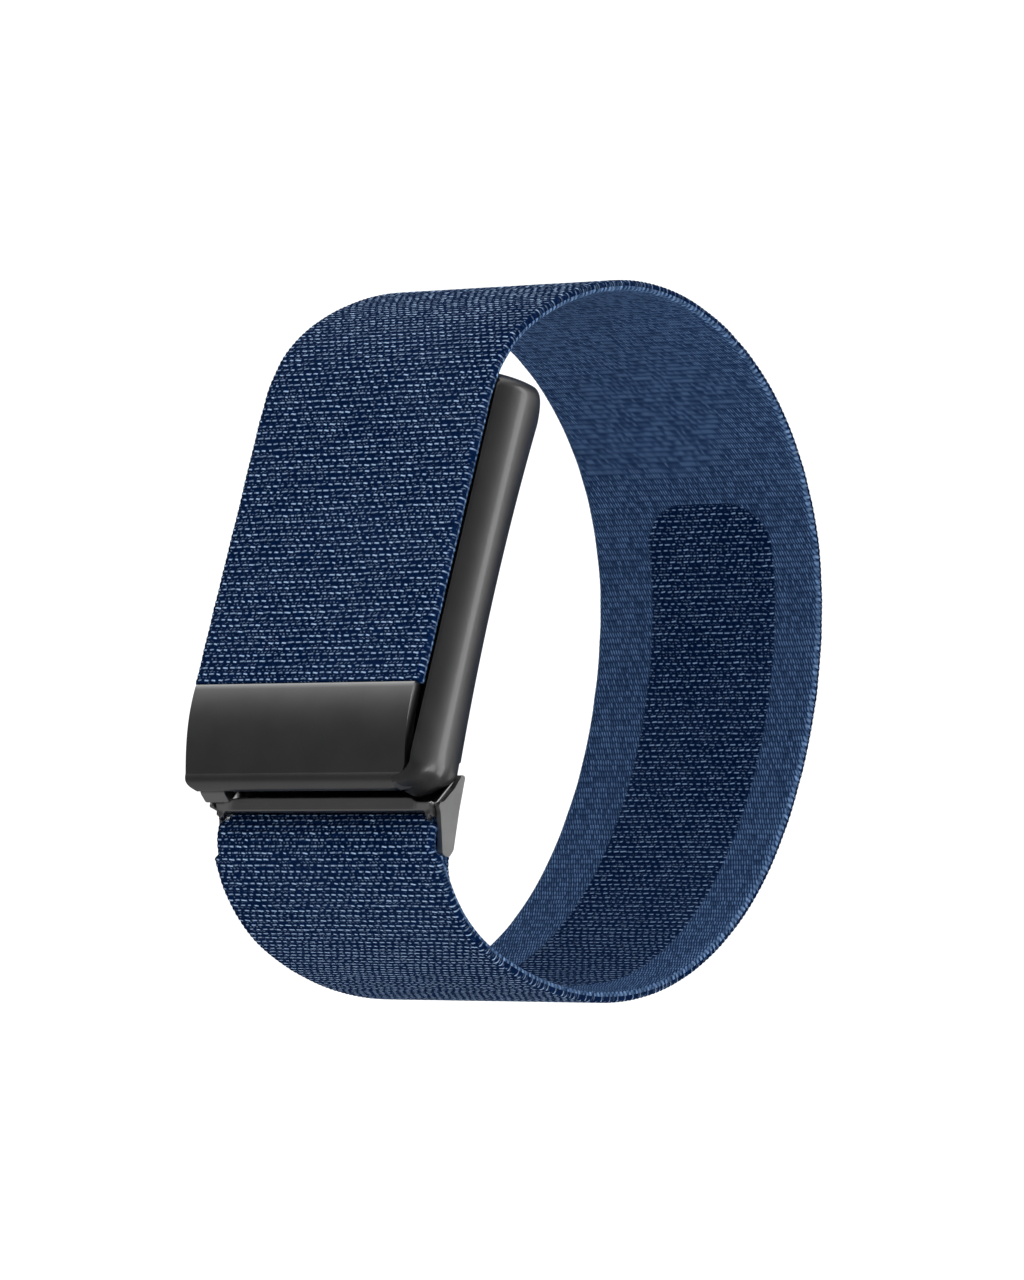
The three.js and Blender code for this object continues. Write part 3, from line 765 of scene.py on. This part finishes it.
# ---------------------------------------------------------------- buckle frame
low_edge = [(5.8, -21.0), (6.1, -20.75), (6.7, -20.3)]
bar_outline = [(5.15, -20.25), (5.45, -20.95), *low_edge, (8.45, -18.1), (8.3, -16.5), (7.9, -16.6),
               (6.3, -19.85)]
toe_outline = [(4.72, -19.8), (5.35, -20.95), *low_edge, (6.9, -19.6), (5.6, -19.75)]
nose_outline = [(6.6, -17.35), (7.3, -17.35), (7.3, -17.9), (8.4, -17.9), (8.3, -16.2), (7.9, -16.1),
                (6.6, -16.6)]
ear_outline = [(5.1, -20.1), (5.4, -21.3), (5.9, -21.4), (6.4, -21.2), (7.6, -20.6), (8.4, -19.9),
               (8.3, -16.5), (7.9, -16.6), (5.85, -20.0)]
shoulder_outline = [(7.2, -19.0), (8.3, -19.9), (8.25, -16.7), (7.9, -16.65)]
INNER_EAR = (12.6, 12.98)                 # each ear's two faces along Y
TOE_HALF_W, NOSE_HALF_W = 12.9, 12.4
toe = prism("toe", toe_outline, -TOE_HALF_W, TOE_HALF_W, gunmetal, 60)
for v in toe.data.vertices:
    if v.co.z > -20.5:                    # the toe gives way to the pod's round corners
        v.co.z -= 0.5 * smooth_step((abs(v.co.y) - 10.5) / 1.2)
parts = [toe, prism("bar", bar_outline, -INNER_EAR[1], INNER_EAR[1], gunmetal),
         prism("shoulder", shoulder_outline, 12.5, 13.3, gunmetal),
         prism("shoulder", shoulder_outline, -13.3, -12.5, gunmetal),
         prism("nose", nose_outline, -NOSE_HALF_W, NOSE_HALF_W, gunmetal),
         prism("lower_bar", arc(*BAR, 0.6, 0, 360, 20)[:-1], -TOE_HALF_W, TOE_HALF_W, gunmetal)]
for side in (-1, 1):
    lo, hi = sorted((side * INNER_EAR[0], side * INNER_EAR[1]))
    parts.append(prism("ear", ear_outline, lo, hi, gunmetal))
    for k in range(3):
        lo, hi = sorted((side * (INNER_EAR[0] - 0.11 * (3 - k) ** 1.3), side * INNER_EAR[0]))
        low = -21.3 - 0.2 * k             # the window's corners are rounded in three steps
        fillet_outline = [(5.42, -21.1), (5.5, low), (6.2, low), (6.3, -21.0)]
        parts.append(prism("fillet", fillet_outline, lo, hi, gunmetal))
buckle = fuse("clasp_frame_body", parts, 0.1, 3, 0.6, gunmetal_painted_light)
place(buckle, "buckle", ("clasp_frame",))
ARM_GAP = 0.07                            # between the frame's body and each arm
ARM_TILT = 0.11                           # the arm's outer face stands out this much per mm towards the wrist


def arm_outline(far):
    """The arm from the side. The far one reaches further out at its top and is slimmer below."""
    slim = 0.3 if far else 0
    top = [(4.78, -18.8, 0.15), (4.78, -20.75, 0.2)] if far else [(5.1, -19.95, 0.35)]
    return rounded(top + [(6.0 + slim, -20.7, 0.8), (6.75 + slim, -22.3, 3.0), (7.6 + slim, -24.5, 0.4),
                          (8.5, -24.45, 0.45), (8.85, -23.6, 0.8), (8.42, -19.9, 3), (8.2, -16.5, 0.25),
                          (7.75, -16.5, 0.2), (7.2, -18.1, 0.9), (6.1, -19.6 if far else -19.9, 0.5)])


for side, label in ((-1, "near"), (1, "far")):
    lo, hi = sorted((side * (INNER_EAR[1] + ARM_GAP), side * FRAME_HALF_W))
    arm = prism("clasp_arm_" + label, arm_outline(side > 0), lo, hi, gunmetal_painted_light)
    for v in arm.data.vertices:
        if abs(v.co.y) > INNER_EAR[1] + 0.3:
            v.co.y += side * ARM_TILT * max(0, v.co.x - 6.6)
    soften(arm, 0.14, 3, 40)
    place(arm, "buckle")
    stub = prism("clasp_stub_" + label, arc(*BAR, 0.42, 0, 360, 20)[:-1],
                 *sorted((side * 12.8, side * (FRAME_HALF_W - 0.4))), gunmetal_painted_light)
    place(stub, "buckle")

# a block clear of the carrier fills the low corner that the pod leaves open on its far side
carrier_end = prism("carrier_end", rounded([(2.8, -18.75, 0.4), (3.0, -19.95, 0.7), (4.55, -20.75, 0.4),
                                            (4.6, -18.75, 0.15)]), 10.6, FRAME_HALF_W, gunmetal_painted_light)
soften(carrier_end, 0.2, 3, 40)
place(carrier_end, "band")

# ---------------------------------------------------------------- pod case
POD_LOW, POD_HIGH = -20.05, 22.9
SPLIT_X = 4.70                            # where the two halves of the case meet
OPEN_Y = POD_HALF_W + 2                   # the grooves run out through the pod's far side


def skin_x(z, out=0.0):
    """The skin face's slight curve along the wrist, or a surface that far outside it."""
    return 8.5 + 0.0025 * (z - 4.0) ** 2 + out


RINGS = 46
SKIN_X = 9.0                              # the skin face before it takes its curve
HIGH_R, LOW_R = 1.8, 2.4                  # the long sides turn into the ends with these at the lip
LIP_X = -0.55                             # the closed side's lip stands this far past the pod's face


def evenly(line):
    """That x, inset line as one point for each ring, closed by the two caps' edges."""
    line = np.concatenate([[(LIP_X, 3.4)], line, [(SKIN_X, 5.2)]])
    far = np.concatenate([[0], np.cumsum(np.hypot(*np.diff(line, axis=0).T))])
    at = np.linspace(0, far[-1], RINGS)
    return np.stack([np.interp(at, far, line[:, k]) for k in range(2)], axis=1)


def edge_line(corners):
    """The pod's end from the outer face to the skin face, from corners of x, inset and radius."""
    return evenly(rounded([(LIP_X, 8, 0)] + corners + [(SKIN_X, 8, 0)], 10)[1:-1])


BARREL_R, BARREL_X = 10.0, 2.55           # each long side bulges round this far along x


def barrel_line():
    """The long side as x and inset: a wide bulge that tightens into the skin face."""
    at = np.radians(np.linspace(-17.2, 35.0, 26))
    line = [(BARREL_X + BARREL_R * math.sin(a), BARREL_R * (1 - math.cos(a))) for a in at]
    x, inset = line[-1]
    tight = (SKIN_X - x) / (1 - math.sin(at[-1]))
    line += [(x + tight * (math.sin(a) - math.sin(at[-1])), inset + tight * (math.cos(at[-1]) - math.cos(a)))
             for a in np.radians(np.linspace(35, 90, 12))[1:]]
    return evenly([(LIP_X, 0.85), (LIP_X + 0.04, 0.66)] + line)


side_line = barrel_line()
low_line = edge_line([(LIP_X, 0, 1.2), (5.5, 0, 2.2), (7.05, 3.9, 0.8), (SKIN_X, 4.4, 1.0)])
high_line = edge_line([(LIP_X, 1.8, 2.2), (SKIN_X, 0, 2.4)])


def low_radius(x):
    """The low corners are roundest halfway through the pod."""
    return LOW_R + 1.1 * smooth_step((x - 1.0) / 2.5) - 2.2 * smooth_step((x - 5.4) / 2.2)


def pod_hull(name, mat):
    """A closed rounded body: rings from the outer face round to the skin face, then two flat caps."""
    per_side, per_corner, per_end = 40, 12, 24
    verts = []
    for k in range(RINGS):
        (sx, si), (lx, li), (hx, hi) = side_line[k], low_line[k], high_line[k]
        half, z0, z1 = POD_HALF_W - si, POD_LOW + li, POD_HIGH - hi
        ring = []
        corners = [(half, z1, 0), (-half, z1, 90), (-half, z0, 180), (half, z0, 270)]
        for c, (cy, cz, turn) in enumerate(corners):
            radius = HIGH_R if c < 2 else low_radius(sx)
            oy, oz = cy - math.copysign(radius, cy), cz - radius if c < 2 else cz + radius
            end_x = hx if c < 2 else lx
            for i in range(per_corner + 1):
                t = i / per_corner
                a = math.radians(turn + 90 * t)
                from_side = t if turn in (0, 180) else 1 - t
                f = from_side * from_side * (3 - 2 * from_side)
                ring.append([sx * (1 - f) + end_x * f, oy + radius * math.cos(a), oz + radius * math.sin(a)])
            nxt = corners[(c + 1) % 4]
            count = per_end if c % 2 == 0 else per_side
            last = ring[-1]
            radius = HIGH_R if nxt[1] > 0 else low_radius(sx)
            ny = nxt[0] - math.copysign(radius, nxt[0]) if c % 2 == 0 else nxt[0]
            nz = nxt[1] if c % 2 == 0 else (nxt[1] + radius if nxt[1] < 0 else nxt[1] - radius)
            for i in range(1, count):
                t = i / count
                ring.append([last[0], last[1] + (ny - last[1]) * t, last[2] + (nz - last[2]) * t])
        for p in ring:
            stretch = skin_x(p[2]) / SKIN_X
            blend = min(1.0, max(0.0, (p[0] - 2.0) / 5.0))
            p[0] *= 1 + (stretch - 1) * blend
        verts += ring
    m = len(ring)
    faces = []
    for k in range(RINGS - 1):
        a, b = k * m, (k + 1) * m
        faces += [(a + i, a + (i + 1) % m, b + (i + 1) % m, b + i) for i in range(m)]
    for k, last_ring in ((0, False), (RINGS - 1, True)):
        edge = verts[k * m:(k + 1) * m]
        cy, cz = sum(p[1] for p in edge) / m, sum(p[2] for p in edge) / m
        before = k * m
        for step in range(1, 8):
            shrink = 1 - step / 8
            base = len(verts)
            for p in edge:
                y, z = cy + (p[1] - cy) * shrink, cz + (p[2] - cz) * shrink
                verts.append([skin_x(z) if last_ring else LIP_X, y, z])
            faces += [(before + i, before + (i + 1) % m, base + (i + 1) % m, base + i) for i in range(m)]
            before = base
        verts.append([skin_x(cz) if last_ring else LIP_X, cy, cz])
        faces += [(before + i, before + (i + 1) % m, len(verts) - 1) for i in range(m)]
    return fix_normals(new_object(name, verts, faces, mat))


def plan(half_y, z0, z1, r):
    """A rounded rectangle in y and z."""
    return rounded([(-half_y, z0, r), (half_y, z0, r), (half_y, z1, r), (-half_y, z1, r)], 5)


def pocket(x, z, clear=0.15):
    """Room for one of the carrier's T-shaped rails."""
    return prism("slot", [(x - 1.2, z - 0.5 - clear), (x, z - 0.5 - clear), (x, z - 1.1 - clear),
                          (x + 0.6 + clear, z - 1.1 - clear), (x + 0.6 + clear, z + 1.1 + clear),
                          (x, z + 1.1 + clear), (x, z + 0.5 + clear), (x - 1.2, z + 0.5 + clear)],
                 -13.2 - clear, OPEN_Y, case_black)


def curved_block(name, half_y, z0, z1, r, below, above, mat):
    """A block with that plan whose two faces follow the skin side's curve."""
    outline = plan(half_y, z0, z1, r)
    m = len(outline)
    cy, cz = 0.0, (z0 + z1) / 2
    verts, faces = [], []
    for x_out in (below, above):
        for shrink in (1, 0.98, 0.95, 0.85, 0.7, 0.5, 0.25):
            for y, z in outline:
                zz = cz + (z - cz) * shrink
                verts.append((skin_x(zz, x_out), y * shrink, zz))
        verts.append((skin_x(cz, x_out), cy, cz))
    per = 7 * m + 1
    for layer in range(2):
        for k in range(6):
            a = layer * per + k * m
            faces += [(a + i, a + (i + 1) % m, a + m + (i + 1) % m, a + m + i) for i in range(m)]
        a = layer * per + 6 * m
        faces += [(a + i, a + (i + 1) % m, layer * per + 7 * m) for i in range(m)]
    faces += [(i, (i + 1) % m, per + (i + 1) % m, per + i) for i in range(m)]
    return fix_normals(new_object(name, verts, faces, mat))


def contact_hole(y):
    """Through the skin side, for one charging contact."""
    return prism_x("contact_hole", arc(y, -8.4, 0.95, 0, 360, 28)[:-1], 7, 11, case_black)


shells = {}
for half, x0, x1 in (("outer", -1, SPLIT_X), ("wrist", SPLIT_X, 12)):
    shell = pod_hull(f"pod_case_{half}", case_black)
    keep = prism("keep", [(x0, -30), (x1, -30), (x1, 30), (x0, 30)], -20, 20, case_black)
    boolean(shell, [keep], "INTERSECT")
    shells[half] = shell
recess = prism("recess", [(-2, 24.0), (0.02, 24.0), (0.02, 19.0), (0.65, 19.0), (0.65, -10.7), (2.9, -17.6),
                          (2.9, -21), (-2, -21)], -13.75, OPEN_Y, case_black)
cy, cz = LOW_R - POD_HALF_W, POD_LOW + LOW_R
outside = [(cy, cz - LOW_R - 3), (-BEYOND, cz - LOW_R - 3), (-BEYOND, cz)]
boolean(recess, [prism_x("corner", arc(cy, cz, LOW_R - 0.45, 180, 270, 12) + outside, -3, 4, case_black)])


def toe_room():
    """Where the buckle's bar lies and turns under the pod's low end."""
    outline = [(2.4, -18.35), (6.75, -18.35), (7.0, -21), (2.4, -21)]
    return prism("toe_room", outline, -11.4, OPEN_Y, case_black)


boolean(shells["outer"], [recess, toe_room(), pocket(1.35, 17.0), pocket(3.25, -16.8),
                          prism_x("room", plan(12.4, -9.7, 15.3, 2), 1.3, 2.8, case_black),
                          prism_x("room", plan(12.4, -14.4, 19.8, 2), 2.6, 5.9, case_black)])
boolean(shells["wrist"], [
    toe_room(),
    prism("catch", [(6.3, -17.65), (10, -17.65), (10, -14.2), (6.3, -16.2)], -12.8, OPEN_Y, case_black),
    prism_x("room", plan(12.4, -14.4, 19.8, 2), 2.6, 5.9, case_black),
    prism_x("room", plan(10.8, -12.4, 17.8, 2), 5.8, 7.3, case_black),
    prism_x("window", plan(9.2, -4.2, 15.2, 2), 7, 11, case_black),
    curved_block("seat", 11.2, -11.2, 18.2, 3.2, -0.75, 3.0, case_black),
    contact_hole(-5.6), contact_hole(5.6)])
for half, shell in shells.items():
    shade(shell, 38)
    place(shell, "pod", (f"case_{half}",))
cover = curved_block("pod_cover", 11.05, -11.05, 18.05, 3.1, -0.6, 0.55, cover_gloss)
boolean(cover, [contact_hole(-5.6), contact_hole(5.6)])
soften(cover, 0.18, 4, 50)
shade(cover, 40)
place(cover, "pod", ("skin_cover",))

# ---------------------------------------------------------------- the CAD pieces that stay
# base, light, metallic, roughness, grain per millimetre, bump in millimetres
LOOKS = {
    "dark_steel": ((0.10, 0.10, 0.105), (0.18, 0.18, 0.185), 1.0, 0.38, 22.0, 0.002),
    "spring_steel": ((0.50, 0.50, 0.51), (0.66, 0.66, 0.67), 1.0, 0.26, 30.0, 0.001),
    "silicone": ((0.011, 0.011, 0.012), (0.028, 0.028, 0.03), 0.0, 0.62, 24.0, 0.004),
    "board": ((0.006, 0.05, 0.022), (0.012, 0.085, 0.04), 0.0, 0.32, 3.2, 0.006),
    "chip": ((0.008, 0.008, 0.009), (0.022, 0.022, 0.024), 0.0, 0.52, 34.0, 0.004),
    "tin": ((0.48, 0.48, 0.49), (0.66, 0.66, 0.68), 1.0, 0.34, 16.0, 0.002),
    "gold": ((0.70, 0.45, 0.13), (0.86, 0.62, 0.26), 1.0, 0.22, 28.0, 0.001),
    "pouch": ((0.42, 0.42, 0.43), (0.60, 0.60, 0.61), 1.0, 0.40, 2.4, 0.02),
    "led": ((0.50, 0.76, 0.36), (0.66, 0.90, 0.50), 0.0, 0.14, 8.0, 0.001),
    "photodiode": ((0.016, 0.01, 0.028), (0.04, 0.026, 0.06), 0.0, 0.12, 8.0, 0.001),
    "ceramic": ((0.62, 0.60, 0.54), (0.74, 0.72, 0.66), 0.0, 0.40, 20.0, 0.002),
    "film": ((0.20, 0.15, 0.08), (0.30, 0.24, 0.14), 0.0, 0.36, 12.0, 0.002),
}
BRUSHED = {"spring_steel": (1, 0.1, 1), "tin": (1, 0.3, 1)}
COATED = {"board": 0.3, "led": 0.6, "photodiode": 0.6}
slot_looks = {name: worn(name, *look, coat=COATED.get(name, 0.0), stretch=BRUSHED.get(name, (1, 1, 1)))
              for name, look in LOOKS.items()}
SHOWN_ELSEWHERE = ("fabric", "clasp_steel", "shell", "gloss")
for subpart in frame["record"]["subparts"]:
    if subpart["material_slot"] not in SHOWN_ELSEWHERE:
        mesh = nodes[subpart["node"]].data
        mesh.materials.clear()
        mesh.materials.append(slot_looks[subpart["material_slot"]])

low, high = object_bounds()
